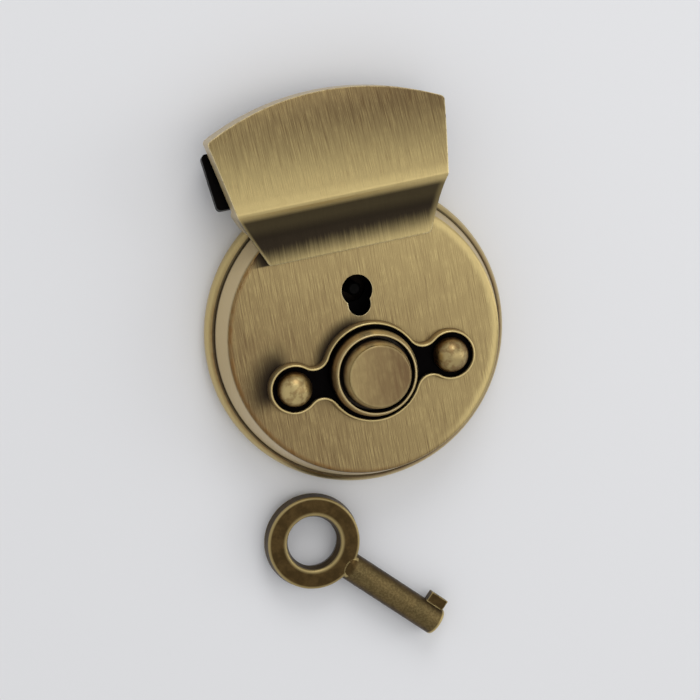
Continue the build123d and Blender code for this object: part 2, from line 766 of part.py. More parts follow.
with BuildPart() as hasp_plate:
    with BuildSketch(Plane.YZ) as hasp_profile:
        with BuildLine():
            nose = ThreePointArc(
                (arc_start_y, lip_top),
                (crest_y - arc_radius * (sin(bend) - sin(bend / 2)), lip_top + arc_radius * (1 - cos(bend / 2))),
                (crest_y, crest_height),
            )
            front = ThreePointArc(
                nose @ 1,
                (middle_y, slope_level(middle_y, -front_bow)),
                (top_y, top_height),
            )
            Polyline(
                front @ 1,
                (top_y, slope_level(top_y, hasp_depth)),
                (skirt_y, slope_level(skirt_y, hasp_depth)),
                (skirt_back_y, skirt_level),
                (skirt_front_y, skirt_level),
                (skirt_root_y, lip_level),
                (lip_y, lip_level),
                (lip_y, lip_top),
                nose @ 0,
            )
        make_face()
        fillet(hasp_profile.vertices().group_by(Axis.Y)[-1], skirt_rounding)
        skirt_corners = hasp_profile.vertices().filter_by_position(
            Axis.Y, skirt_level - rest_gap, skirt_level + rest_gap
        )
        fillet(skirt_corners.filter_by_position(Axis.X, skirt_front_y, skirt_y), foot_rounding)
    extrude(amount=top_y, both=True)
    with BuildSketch(Plane.XY) as hasp_plan:
        with BuildLine():
            edge = ThreePointArc(
                (-shoulder_half_width, shoulder_y),
                (0, top_y),
                (shoulder_half_width, shoulder_y),
            )
            Polyline(
                edge @ 1,
                (crest_half_width, crest_y),
                (lip_half_width, lip_y),
                (-lip_half_width, lip_y),
                (-crest_half_width, crest_y),
                edge @ 0,
            )
        make_face()
        fillet(hasp_plan.vertices(), hasp_corner)
    extrude(amount=top_y, mode=Mode.INTERSECT)
    # Arched clearance for the body, hollow back, bosses for the screws
    with BuildSketch(Plane.XY):
        Circle(flange_radius + hasp_body_gap)
    extrude(amount=lip_level, mode=Mode.SUBTRACT)
    add(hasp_hollow.part, mode=Mode.SUBTRACT)
    with BuildSketch(hasp_rim):
        with Locations((-hasp_screw_x, hasp_screw_rise), (hasp_screw_x, hasp_screw_rise)):
            Circle(2 * hasp_screw_radius + rest_gap)
    extrude(amount=hasp_depth - hasp_wall / 2)
    for side in (-1, 1):
        mouth = Location((side * hasp_screw_x, hasp_screw_rise, 0), (180, 0, 0))
        with Locations(hasp_rim.location * mouth):
            Hole(hasp_screw_radius, hasp_screw_grip + rest_gap)
    # Seat for the tongue's foot and the blind holes of its rivets
    with BuildSketch(Plane.XY.offset(lip_level)):
        with Locations((0, (foot_start_y + foot_end_y) / 2)):
            Rectangle(
                tongue_width + 2 * rest_gap,
                foot_end_y - foot_start_y + 2 * rest_gap,
            )
    extrude(amount=foot_top - lip_level, mode=Mode.SUBTRACT)
    with Locations((-rivet_x, rivet_y, foot_top), (rivet_x, rivet_y, foot_top)):
        with Locations(Location((0, 0, 0), (180, 0, 0))):
            Hole(rivet_tail_radius, rivet_tail_length)
hasp_plate.part.label = "hasp_plate"
export_step(hasp_plate.part, "parts/hasp_plate.step")

# Hasp tongue: steel tab with catch notches and the bolt's window, bent to a foot
notch_foot = catch_level - wire_radius - rest_gap
notch_head = catch_level + wire_radius + rest_gap
foot_bottom = foot_top - 0.5
tip_taper = 0.3
tongue_half_width = tongue_width / 2
tongue_neck = tongue_half_width - tongue_notch
with BuildPart() as hasp_tongue:
    with BuildSketch(Plane.XZ.offset(-foot_start_y)):
        Polygon(
            (-tongue_neck + tip_taper, tongue_tip),
            (tongue_neck - tip_taper, tongue_tip),
            (tongue_half_width, notch_foot),
            (tongue_neck, notch_foot),
            (tongue_neck, notch_head),
            (tongue_half_width, notch_head),
            (tongue_half_width, foot_top),
            (-tongue_half_width, foot_top),
            (-tongue_half_width, notch_head),
            (-tongue_neck, notch_head),
            (-tongue_neck, notch_foot),
            (-tongue_half_width, notch_foot),
            align=None,
        )
        with Locations((0, bolt_level + bolt_sheet / 2)):
            Rectangle(2 * (bolt_nose_half_width + rest_gap), bolt_sheet + loose_gap, mode=Mode.SUBTRACT)
    extrude(amount=-tongue_sheet)
    with BuildSketch(Plane.XY.offset(foot_bottom)):
        with Locations((0, (foot_start_y + foot_end_y) / 2)):
            Rectangle(tongue_width, foot_end_y - foot_start_y)
        with Locations((-rivet_x, rivet_y), (rivet_x, rivet_y)):
            Circle(rivet_radius, mode=Mode.SUBTRACT)
    extrude(amount=foot_top - foot_bottom)
hasp_tongue.part.label = "hasp_tongue"
export_step(hasp_tongue.part, "parts/hasp_tongue.step")

# Tongue rivets: flush in the tongue's foot
with BuildPart() as tongue_rivets:
    with BuildSketch(Plane.XY.offset(foot_bottom)):
        with Locations((-rivet_x, rivet_y), (rivet_x, rivet_y)):
            Circle(rivet_radius)
    extrude(amount=foot_top - foot_bottom)
    with BuildSketch(Plane.XY.offset(foot_top)):
        with Locations((-rivet_x, rivet_y), (rivet_x, rivet_y)):
            Circle(rivet_tail_radius)
    extrude(amount=rivet_tail_length)
tongue_rivets.part.label = "tongue_rivets"
export_step(tongue_rivets.part, "parts/tongue_rivets.step")

# Hasp backing plate: strip behind the bag's flap, cut out round the body
with BuildPart() as hasp_backing_plate:
    with BuildSketch(backing_back) as backing_outline:
        Polygon(
            (-backing_low_half_length, backing_low),
            (backing_low_half_length, backing_low),
            (backing_high_half_length, backing_high),
            (-backing_high_half_length, backing_high),
            align=None,
        )
        fillet(backing_outline.vertices(), hasp_corner)
    extrude(amount=backing_sheet)
    with BuildSketch(Plane.XY):
        Circle(flange_radius + hasp_body_gap)
    extrude(amount=body_height, mode=Mode.SUBTRACT)
    for side in (-1, 1):
        head = Location((side * hasp_screw_x, hasp_screw_rise, 0), (180, 0, 0))
        with Locations(backing_back.location * head):
            CounterSinkHole(hasp_screw_radius + rest_gap / 2, screw_head_radius, backing_sheet)
hasp_backing_plate.part.label = "hasp_backing_plate"
export_step(hasp_backing_plate.part, "parts/hasp_backing_plate.step")

# Hasp screws: through backing plate and flap into the hasp's bosses
hasp_screw_length = backing_sheet + flap_thickness + hasp_screw_grip
with BuildPart() as hasp_screws:
    for side in (-1, 1):
        head = Location((side * hasp_screw_x, hasp_screw_rise, 0))
        with Locations(backing_back.location * head):
            add(countersunk_screw(hasp_screw_radius, hasp_screw_length))
hasp_screws.part.label = "hasp_screws"
export_step(hasp_screws.part, "parts/hasp_screws.step")

# Key: drafted ring bow with a parting step, hollow shank, short bit
half_bow = bow_thickness / 2
bow_draft = 0.3
parting = -0.3 * half_bow
parting_step = 0.15
bow_rounding = 0.3
shank_root = bow_radius - 1.3
shank_rounding = 0.35
bit_root = 0.8 * shank_radius / 2
with BuildPart() as key_blank:
    with BuildSketch(Plane.YZ.offset(shank_root)):
        Circle(shank_radius)
    extrude(amount=key_length - shank_root)
    fillet(key_blank.edges().filter_by(GeomType.CIRCLE).group_by(Axis.X)[0], shank_radius / 2)
    fillet(key_blank.edges().filter_by(GeomType.CIRCLE).group_by(Axis.X)[-1], shank_rounding)
    with BuildSketch(Plane.XZ) as bow_profile:
        Polygon(
            (bow_hole_radius + bow_draft + parting_step, half_bow),
            (bow_radius - bow_draft, half_bow),
            (bow_radius, parting),
            (bow_radius - parting_step, parting),
            (bow_radius - parting_step - bow_draft, -half_bow),
            (bow_hole_radius + bow_draft, -half_bow),
            (bow_hole_radius, 0),
            align=None,
        )
        bow_rims = bow_profile.vertices().group_by(Axis.Y)
        fillet(bow_rims[0] + bow_rims[-1], bow_rounding)
    revolve(axis=Axis.Z)
    bit_end = key_length - tip_length
    with BuildSketch(Plane.XY.offset(-bit_thickness / 2)):
        with Locations((bit_end - bit_length / 2, (bit_root + bit_reach) / 2)):
            Rectangle(bit_length, bit_reach - bit_root)
    extrude(amount=bit_thickness)
    with Locations(Location((key_length, 0, 0), (0, 90, 0))):
        CounterSinkHole(key_bore, key_bore + bore_mouth, key_bore_depth, 90)
with BuildPart() as key:
    with Locations(Location((key_place[0], key_place[1], shank_radius), (0, 0, key_turn))):
        add(key_blank.part)
key.part.label = "key"
export_step(key.part, "parts/key.step")
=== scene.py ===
"""Antique-brass bag lock: finishes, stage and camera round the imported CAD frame.

Lengths are in millimetres unless a name ends in _m. The lock lies on its back: Z points
out of its face, Y towards the hasp.
"""

import bpy
from mathutils import Matrix, Vector


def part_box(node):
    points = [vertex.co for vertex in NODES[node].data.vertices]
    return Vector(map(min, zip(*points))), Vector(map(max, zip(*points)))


bl_info = {
    "name": "Bag Lock Finishes",
    "version": (1, 1, 0),
    "blender": (4, 5, 0),
    "location": "View3D > Sidebar > Bag Lock",
    "description": "Antique-brass finishes, studio stage and camera for a round bag lock",
    "category": "Material",
}

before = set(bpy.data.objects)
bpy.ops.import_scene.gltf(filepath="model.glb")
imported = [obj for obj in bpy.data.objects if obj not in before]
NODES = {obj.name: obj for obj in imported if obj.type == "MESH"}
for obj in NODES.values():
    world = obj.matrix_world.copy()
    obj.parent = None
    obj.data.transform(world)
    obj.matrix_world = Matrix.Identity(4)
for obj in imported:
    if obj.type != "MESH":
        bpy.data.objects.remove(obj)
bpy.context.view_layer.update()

MM = 0.001


def low_mm(node, axis):
    """Where a CAD node starts along an axis."""
    return getattr(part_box(node)[0], axis) / MM


def high_mm(node, axis):
    """Where a CAD node ends along an axis."""
    return getattr(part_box(node)[1], axis) / MM


# Sizes inside the CAD pieces, which their boxes don't give

FACE_RADIUS = 21.0
SKIRT_WALL = 1.5
CASE_BORE = 21.6
CASE_RIM = 3.9  # level of the case's rim, where the dark groove begins
BUTTON_RADIUS = 5.25
COLLAR_BORE = 5.85
BALL_RADIUS = 2.7
NOSE_LENGTH = 8.4  # of the hasp, from its lip to its crest
LIP_HALF_WIDTH = 12.6
CREST_HALF_WIDTH = 16.35
BOW_RADIUS = 7.5
BOW_HOLE = 3.9
BOW_TOP = 3.85
KEY_LENGTH = 24.4  # from the bow's centre to the tip

# Levels and places read from the frame

FACE_LEVEL = high_mm("front_cover", "z")
COVER_BORE = high_mm("front_cover", "x") - SKIRT_WALL
FRAME_TOP = high_mm("escutcheon", "z")
COLLAR_TOP = high_mm("button_collar", "z")
BUTTON_TOP = high_mm("push_button", "z")
BUTTON_Y = (low_mm("push_button", "y") + high_mm("push_button", "y")) / 2
BALL_TOP = high_mm("ball_rivets", "z")
BALL_X = high_mm("ball_rivets", "x") - BALL_RADIUS
RING_RADIUS = (high_mm("escutcheon", "y") - low_mm("escutcheon", "y")) / 2
LOBE_RADIUS = high_mm("escutcheon", "x") - BALL_X
LIP_Y = low_mm("hasp_plate", "y")
CREST_Y = LIP_Y + NOSE_LENGTH
HASP_END_Y = high_mm("hasp_plate", "y")
NOSE_SPLAY = (CREST_HALF_WIDTH - LIP_HALF_WIDTH) / NOSE_LENGTH
BOW_CENTRE = (low_mm("key", "x") + BOW_RADIUS, high_mm("key", "y") - BOW_RADIUS)
SHANK_TOP = high_mm("key", "z")

# Grain of brushed metal, and of metal that is only rubbed

LINES_PER_MM = 13.0
LENGTHWISE = 0.25  # how often a brush line breaks up along its length, per mm
BLOTCHES_PER_MM = 0.7
RUBBED_GRAIN = {"lines_per_mm": 2.0, "lengthwise": 0.6, "blotches_per_mm": 0.6}
NOISE_LOW, NOISE_HIGH = 0.28, 0.72  # nearly all noise lies between these

# What the effects do to the antique brass

STREAK_TONE = 0.04  # tone that a broad brush streak adds or takes
CLOUD_TONE = 0.02  # the same for a soft blotch
BUNDLED = (0.6, 1.3)  # brush lines fade and strengthen between these, by blotch
SATIN_LOSS = 0.75  # metallic shine that a satin wall loses
LINE_ROUGHNESS = 0.05
PATINA_ROUGHNESS = 0.12
GRAIN_STRENGTH = 0.3
BRUSH_DEPTH = 0.015
CAST_DEPTH = 0.02

# Stage. The camera was found from the photo: its turns are in radians, and the face's centre
# is where the camera sees it, with Y down and Z away from it.

TURN_X, TURN_Y, TURN_Z = 0.1824, -0.19522, -0.1813
FACE_FROM_CAMERA = Vector((2.32733, -2.06502, 393.635))
SENSOR_WIDTH = 36
FLOOR_HALF_M = 1.5


# Node helpers


def tree_of(*values):
    """Node tree of the first socket among the values."""
    return next(value.id_data for value in values if isinstance(value, bpy.types.NodeSocket))


def add_node(tree, kind, **settings):
    """New shader node with its settings."""
    node = tree.nodes.new(kind)
    for key, value in settings.items():
        setattr(node, key, value)
    return node


def feed(target, source):
    """Links a socket, or sets a plain value."""
    if isinstance(source, bpy.types.NodeSocket):
        target.id_data.links.new(source, target)
    else:
        target.default_value = source


def math_node(operation, a, b=0.0, clamp=False):
    """Maths on two values, of which at least one is a socket."""
    node = add_node(tree_of(a, b), "ShaderNodeMath", operation=operation, use_clamp=clamp)
    feed(node.inputs[0], a)
    feed(node.inputs[1], b)
    return node.outputs[0]


def minus(a, b):
    return math_node("SUBTRACT", a, b)


def times(value, factor):
    return math_node("MULTIPLY", value, factor)


def folded(operation, values):
    """All values joined, from the first on, by one operation."""
    result = values[0]
    for value in values[1:]:
        result = math_node(operation, result, value)
    return result


def product(*masks):
    return folded("MULTIPLY", masks)


def strongest(*masks):
    return folded("MAXIMUM", masks)


def total(*values):
    return folded("ADD", values)


def smooth_step(value, low, high, to_low=0.0, to_high=1.0):
    """Value mapped smoothly from low..high to to_low..to_high."""
    node = add_node(tree_of(value), "ShaderNodeMapRange", interpolation_type="SMOOTHSTEP")
    settings = {
        "Value": value,
        "From Min": low,
        "From Max": high,
        "To Min": to_low,
        "To Max": to_high,
    }
    for name, setting in settings.items():
        feed(node.inputs[name], setting)
    return node.outputs["Result"]


def between(mask, low, high):
    """A mask from 0 to 1 mapped smoothly to low..high."""
    return smooth_step(mask, 0.0, 1.0, low, high)


def mix_colour(share, a, b):
    """Colour a where the share is 0, colour b where it is 1."""
    node = add_node(tree_of(share), "ShaderNodeMix", data_type="RGBA")
    feed(node.inputs["Factor"], share)
    feed(node.inputs["A"], a)
    feed(node.inputs["B"], b)
    return node.outputs["Result"]


def opaque(colour, factor=1.0):
    """A colour, or a share of it, with full alpha."""
    return [part * factor for part in colour] + [1]


def noise(vector, scale, detail=3.0, roughness=0.5):
    """Cloud noise from 0 to 1."""
    node = add_node(tree_of(vector), "ShaderNodeTexNoise")
    feed(node.inputs["Vector"], vector)
    feed(node.inputs["Scale"], scale)
    feed(node.inputs["Detail"], detail)
    feed(node.inputs["Roughness"], roughness)
    return node.outputs["Fac"]


def new_group(name, inputs, outputs):
    """Empty shader group with its sockets: (name, socket type, default)."""
    group = bpy.data.node_groups.new(name, "ShaderNodeTree")
    for label, kind, default in inputs:
        socket = group.interface.new_socket(label, in_out="INPUT", socket_type=kind)
        if default is not None:
            socket.default_value = default
    for label, kind in outputs:
        group.interface.new_socket(label, in_out="OUTPUT", socket_type=kind)
    source = group.nodes.new("NodeGroupInput").outputs
    target = group.nodes.new("NodeGroupOutput").inputs
    return group, source, target


# Effects that several finishes share


def brush_group():
    """Brush lines along Y: broad tone streaks and fine lines, each from -1 to 1."""
    group, source, target = new_group(
        "Brush Lines",
        [
            ("Vector", "NodeSocketVector", None),
            ("Lines per mm", "NodeSocketFloat", LINES_PER_MM),
            ("Lengthwise", "NodeSocketFloat", LENGTHWISE),
        ],
        [("Streak", "NodeSocketFloat"), ("Line", "NodeSocketFloat")],
    )
    stretch = add_node(group, "ShaderNodeCombineXYZ")
    feed(stretch.inputs["X"], source["Lines per mm"])
    feed(stretch.inputs["Y"], source["Lengthwise"])
    feed(stretch.inputs["Z"], source["Lengthwise"])
    stretched = add_node(group, "ShaderNodeVectorMath", operation="MULTIPLY")
    feed(stretched.inputs[0], source["Vector"])
    feed(stretched.inputs[1], stretch.outputs[0])
    broad = noise(stretched.outputs[0], 0.3, 1.0, 0.6)
    fine = noise(stretched.outputs[0], 1.0, 2.0, 0.6)
    feed(target["Streak"], smooth_step(broad, NOISE_LOW, NOISE_HIGH, -1.0, 1.0))
    feed(target["Line"], smooth_step(fine, NOISE_LOW, NOISE_HIGH, -1.0, 1.0))
    return group


def mottle_group():
    """Cast or rubbed metal: soft blotches and small specks, each from 0 to 1."""
    group, source, target = new_group(
        "Mottle",
        [
            ("Vector", "NodeSocketVector", None),
            ("Blotches per mm", "NodeSocketFloat", BLOTCHES_PER_MM),
        ],
        [("Blotch", "NodeSocketFloat"), ("Speck", "NodeSocketFloat")],
    )
    soft = noise(source["Vector"], source["Blotches per mm"], 3.0, 0.55)
    small = noise(source["Vector"], times(source["Blotches per mm"], 5.0), 4.0, 0.7)
    feed(target["Blotch"], smooth_step(soft, 0.35, 0.65))
    feed(target["Speck"], smooth_step(small, 0.38, 0.66))
    return group


def patina_and_shade_group():
    """Dark patina and painted shade in corners and recesses, found by ambient occlusion and broken
    up by noise.
    """
    group, source, target = new_group(
        "Recess Patina And Shade",
        [
            ("Vector", "NodeSocketVector", None),
            ("Reach", "NodeSocketFloat", 0.001),
            ("Amount", "NodeSocketFloat", 1.0),
        ],
        [("Mask", "NodeSocketFloat")],
    )
    occlusion = add_node(group, "ShaderNodeAmbientOcclusion", samples=8)
    feed(occlusion.inputs["Distance"], source["Reach"])
    cloud = noise(source["Vector"], 0.9, 4.0)
    open_share = total(occlusion.outputs["AO"], times(cloud, 0.16))
    mask = smooth_step(open_share, 0.95, 0.45)
    feed(target["Mask"], math_node("MULTIPLY", mask, source["Amount"], clamp=True))
    return group


def wear_and_highlight_group():
    """Rubbed edges with a painted edge highlight, found where a rounded normal leaves the true
    one.
    """
    group, source, target = new_group(
        "Edge Wear And Highlight",
        [
            ("Vector", "NodeSocketVector", None),
            ("Width", "NodeSocketFloat", 0.0003),
            ("Amount", "NodeSocketFloat", 1.0),
        ],
        [("Mask", "NodeSocketFloat"), ("Normal", "NodeSocketVector")],
    )
    rounded = add_node(group, "ShaderNodeBevel", samples=6)
    feed(rounded.inputs["Radius"], source["Width"])
    geometry = add_node(group, "ShaderNodeNewGeometry")
    turn = add_node(group, "ShaderNodeVectorMath", operation="DOT_PRODUCT")
    feed(turn.inputs[0], rounded.outputs["Normal"])
    feed(turn.inputs[1], geometry.outputs["Normal"])
    edge = smooth_step(turn.outputs["Value"], 0.99, 0.88)
    broken = smooth_step(noise(source["Vector"], 1.3), NOISE_LOW, 0.5)
    wear_and_highlight = product(edge, broken)
    feed(target["Mask"], math_node("MULTIPLY", wear_and_highlight, source["Amount"], clamp=True))
    feed(target["Normal"], rounded.outputs["Normal"])
    return group


EFFECTS = {
    "Brush Lines": brush_group,
    "Mottle": mottle_group,
    "Recess Patina And Shade": patina_and_shade_group,
    "Edge Wear And Highlight": wear_and_highlight_group,
}
GROUPS = {}


def group_node(tree, name, **values):
    """A shared effect placed in a material with its own values, _ standing for a space."""
    if name not in GROUPS:
        GROUPS[name] = EFFECTS[name]()
    node = add_node(tree, "ShaderNodeGroup", node_tree=GROUPS[name])
    for label, value in values.items():
        feed(node.inputs[label.replace("_", " ")], value)
    return node.outputs


# Metals


def new_material(name):
    """Empty material with its node tree and shader."""
    material = bpy.data.materials.new(name)
    material.use_nodes = True
    tree = material.node_tree
    return material, tree, tree.nodes["Principled BSDF"]


class Spot:
    """The place being shaded, in millimetres, and the shared effects there."""

    def __init__(self, tree, lines_per_mm=LINES_PER_MM, lengthwise=LENGTHWISE,
                 blotches_per_mm=BLOTCHES_PER_MM):
        self.tree = tree
        place = add_node(tree, "ShaderNodeTexCoord")
        scaled = add_node(tree, "ShaderNodeVectorMath", operation="SCALE")
        feed(scaled.inputs[0], place.outputs["Object"])
        feed(scaled.inputs["Scale"], 1 / MM)
        self.vector = scaled.outputs[0]
        parts = add_node(tree, "ShaderNodeSeparateXYZ")
        feed(parts.inputs[0], self.vector)
        self.x, self.y, self.z = parts.outputs
        brush = group_node(tree, "Brush Lines", Vector=self.vector, Lines_per_mm=lines_per_mm,
                           Lengthwise=lengthwise)
        self.streak = brush["Streak"]
        self.line = brush["Line"]
        mottle = group_node(tree, "Mottle", Vector=self.vector, Blotches_per_mm=blotches_per_mm)
        self.blotch = mottle["Blotch"]
        self.speck = mottle["Speck"]

    def from_axis(self, x, y):
        """Distance from an upright axis."""
        aside = math_node("POWER", minus(self.x, x), 2.0)
        along = math_node("POWER", minus(self.y, y), 2.0)
        return math_node("SQRT", total(aside, along))

    def facing_up(self):
        """How far the metal's true face looks up, from -1 to 1."""
        geometry = add_node(self.tree, "ShaderNodeNewGeometry")
        parts = add_node(self.tree, "ShaderNodeSeparateXYZ")
        feed(parts.inputs[0], geometry.outputs["True Normal"])
        return parts.outputs["Z"]

    def patina_and_shade_in_recesses(self, reach, amount):
        """Mask of the patina and painted shade in corners and recesses."""
        return group_node(
            self.tree, "Recess Patina And Shade", Vector=self.vector, Reach=reach * MM, Amount=amount
        )["Mask"]

    def edges(self, width, amount):
        """Mask of the rubbed edges with their painted highlight, and the normal that rounds them.
        """
        wear = group_node(
            self.tree, "Edge Wear And Highlight", Vector=self.vector, Width=width * MM, Amount=amount
        )
        return wear["Mask"], wear["Normal"]


def add_grain(shader, height, depth, normal):
    """Shallow relief on top of the rounded edges."""
    bump = add_node(shader.id_data, "ShaderNodeBump")
    feed(bump.inputs["Strength"], GRAIN_STRENGTH)
    feed(bump.inputs["Distance"], depth * MM)
    feed(bump.inputs["Height"], height)
    feed(bump.inputs["Normal"], normal)
    feed(shader.inputs["Normal"], bump.outputs["Normal"])


def antique_brass(name, finish, tone, patina_and_shade, brown, recess, black_paint_and_shade=None, pale=None, grain=None,
                  line=0.2, wear_width=0.2, roughness=0.36, brushed=0.0):
    """Aged brass. Tone runs from deep (0) to bright (1) and holds painted light on some pieces;
    patina and painted shade, brown, black paint and painted black shade, and the satin pale are
    masks by place; recess is the strength of the patina and painted shade in corners."""
    material, tree, shader = new_material(name)
    spot = Spot(tree, **(grain or {}))
    patina_and_shade_in_recesses = spot.patina_and_shade_in_recesses(1.0, recess)
    wear_and_highlight, rounded = spot.edges(wear_width, 1.0)

    lines = times(times(spot.line, line), between(spot.blotch, *BUNDLED))
    clouds = between(spot.blotch, -CLOUD_TONE, CLOUD_TONE)
    level = total(tone(spot), lines, clouds, times(spot.streak, STREAK_TONE))
    level = math_node("ADD", level, 0.0, clamp=True)
    body = mix_colour(level, opaque(finish.deep_brass), opaque(finish.bright_brass))
    feed(shader.inputs["Metallic"], 1.0)
    if pale:
        satin = pale(spot)
        body = mix_colour(satin, body, opaque(finish.pale_brass))
        feed(shader.inputs["Metallic"], minus(1.0, times(satin, SATIN_LOSS)))
    body = mix_colour(brown(spot), body, opaque(finish.brown))
    body = mix_colour(wear_and_highlight, body, opaque(finish.rubbed_and_highlight))
    dark = strongest(patina_and_shade_in_recesses, patina_and_shade(spot))
    body = mix_colour(dark, body, opaque(finish.patina_and_shade))
    if black_paint_and_shade:
        body = mix_colour(black_paint_and_shade(spot), body, opaque(finish.black_paint_and_shade))
    feed(shader.inputs["Base Color"], body)

    rough = total(roughness, times(spot.line, LINE_ROUGHNESS), times(dark, PATINA_ROUGHNESS))
    feed(shader.inputs["Roughness"], rough)
    add_grain(shader, spot.line, BRUSH_DEPTH, rounded)
    if brushed:
        across = add_node(tree, "ShaderNodeCombineXYZ")
        feed(across.inputs["X"], 1.0)
        feed(shader.inputs["Anisotropic"], brushed)
        feed(shader.inputs["Tangent"], across.outputs[0])
    return material


def plain_metal(name, colour, roughness):
    """Plated or drawn steel, faintly clouded."""
    material, tree, shader = new_material(name)
    spot = Spot(tree, blotches_per_mm=2.0)
    feed(shader.inputs["Metallic"], 1.0)
    feed(shader.inputs["Base Color"], mix_colour(spot.blotch, opaque(colour, 0.8), opaque(colour)))
    feed(shader.inputs["Roughness"], total(roughness, times(spot.speck, 0.06)))
    return material


def black_enamel(name, finish):
    """Dull black paint, faintly clouded."""
    material, tree, shader = new_material(name)
    feed(shader.inputs["Base Color"], opaque(finish.enamel))
    feed(shader.inputs["Specular IOR Level"], 0.06)
    feed(shader.inputs["Roughness"], between(Spot(tree).blotch, 0.34, 0.46))
    return material


def mottled_bronze(name, finish, shade, bare_and_highlit):
    """Dark bronze. Shade runs from dark (0) to full (1) and holds painted shade; bare_and_highlit
    is the mask of bare metal and painted highlights.
    """
    material, tree, shader = new_material(name)
    spot = Spot(tree, blotches_per_mm=0.55)
    wear_and_highlight, rounded = spot.edges(0.35, 0.8)
    body = mix_colour(shade(spot), opaque(finish.key_bronze, 0.3), opaque(finish.key_bronze))
    body = mix_colour(strongest(wear_and_highlight, bare_and_highlit(spot)), body, opaque(finish.bright_brass))
    body = mix_colour(spot.patina_and_shade_in_recesses(1.5, 0.9), body, opaque(finish.patina_and_shade))
    feed(shader.inputs["Base Color"], body)
    feed(shader.inputs["Metallic"], 1.0)
    feed(shader.inputs["Roughness"], 0.42)
    add_grain(shader, spot.speck, CAST_DEPTH, rounded)
    return material


def dress(names, material):
    """Gives CAD nodes their material."""
    for name in names:
        slots = NODES[name].material_slots
        for slot in slots:
            slot.material = material
        if not slots:
            NODES[name].data.materials.append(material)


# Front cover


def cover_tone_and_painted_light(spot):
    """Painted light: brighter to the right and below the hasp's lip, a painted highlight at the
    right edge, painted shade to the lower left.
    """
    painted_light_rightward = times(spot.x, 0.006)
    painted_light_below_lip = smooth_step(spot.y, 2.0, LIP_Y - 1.0, 0.0, 0.1)
    painted_shade_lower_left = smooth_step(total(spot.x, spot.y), -8.0, -24.0, 0.0, -0.04)
    edge = smooth_step(spot.from_axis(0, 0), FACE_RADIUS - 1.6, FACE_RADIUS - 0.4)
    painted_highlight_to_right = smooth_step(total(spot.x, times(spot.y, 0.5)), -4.0, 10.0, 0.0, 0.55)
    return total(painted_light_rightward, painted_light_below_lip, painted_shade_lower_left, product(edge, painted_highlight_to_right), 0.38)


def cover_pale(spot):
    """Satin side wall below the face."""
    return smooth_step(spot.z, FACE_LEVEL - 0.2, FACE_LEVEL - 0.8)


def cover_painted_black_shade(spot):
    """Painted black shade inside the cover and in its holes."""
    below_face = smooth_step(spot.z, FACE_LEVEL - 0.12, FACE_LEVEL - 0.3)
    inside = smooth_step(spot.from_axis(0, 0), COVER_BORE, COVER_BORE - 0.2)
    return product(below_face, inside)


def nose_half_width(spot):
    """Half the width of the hasp's nose, which widens from its lip to its crest."""
    return total(times(spot.y, NOSE_SPLAY), LIP_HALF_WIDTH - LIP_Y * NOSE_SPLAY)


def painted_shade_beside(spot, x, radius, reach, left, up):
    """Painted shade that fades away from a round wall of the frame, on the side left and up name.
    """
    out = spot.from_axis(x, BUTTON_Y)
    aside = times(minus(x, spot.x), left)
    along = times(minus(spot.y, BUTTON_Y), up)
    toward = math_node("DIVIDE", total(aside, along), out)
    near = smooth_step(minus(out, radius), reach, 0.0, 0.0, 0.95)
    return product(near, smooth_step(toward, 0.35, 0.85))


def cover_patina_and_painted_shade(spot):
    """Dark patina and painted shade in the groove above the case, and painted shade beside the
    hasp's nose and to the upper left of the frame.
    """
    groove = smooth_step(spot.z, CASE_RIM + 0.7, CASE_RIM + 0.3, 0.0, 0.8)
    beside_nose = minus(times(spot.x, -1.0), nose_half_width(spot))
    # painted shadow and dark reflection of the hasp's nose on the face, left of it
    nose_corner = product(
        smooth_step(beside_nose, 3.4, 0.4, 0.0, 0.95),
        smooth_step(beside_nose, -2.5, -0.5),
        smooth_step(spot.y, LIP_Y - 0.2, LIP_Y + 0.1),
    )
    # painted shade and dark reflection to the upper left of the ring and the left lobe
    ring = painted_shade_beside(spot, 0.0, RING_RADIUS, 2.2, left=0.8, up=0.6)
    lobe = painted_shade_beside(spot, -BALL_X, LOBE_RADIUS, 4.6, left=0.85, up=0.5)
    face = smooth_step(spot.z, FACE_LEVEL - 0.1, FACE_LEVEL - 0.05)
    return strongest(groove, product(face, strongest(nose_corner, ring, lobe)))


def cover_brown_and_painted_shade(spot):
    """Warm brown line round the face's edge; its greater strength on the left is painted shade."""
    edge = smooth_step(spot.from_axis(0, 0), FACE_RADIUS - 0.8, FACE_RADIUS - 0.25)
    level = smooth_step(spot.z, FACE_LEVEL - 0.3, FACE_LEVEL - 0.1)
    left = smooth_step(spot.x, 8.0, -12.0, 0.1, 0.7)
    return product(edge, level, left, between(spot.blotch, 0.5, 1.0))


# Case


def case_tone_and_painted_shade(spot):
    """The flange brightens below its rim; its darkening toward the rim and groove is painted
    shade.
    """
    return smooth_step(spot.z, CASE_RIM, CASE_RIM - 1.3, 0.6, 1.15)


def case_patina_and_shade(spot):
    """Patina and painted shade at the rim under the groove, and painted shade inside."""
    rim = smooth_step(spot.z, CASE_RIM - 0.2, CASE_RIM - 0.02, 0.0, 0.8)
    inside = smooth_step(spot.from_axis(0, 0), CASE_BORE + 0.1, CASE_BORE - 0.1)
    above_back = smooth_step(spot.z, 0.3, 0.6)
    return strongest(rim, product(inside, above_back))


def case_brown(spot):
    """Brown toward the rim, less of it beside the hasp."""
    rim = smooth_step(spot.z, CASE_RIM - 0.8, CASE_RIM, 0.0, 0.7)
    away_from_hasp = smooth_step(spot.y, 16.0, 4.0, 0.2, 1.0)
    return product(rim, away_from_hasp, between(spot.blotch, 0.6, 1.0))


# Hasp


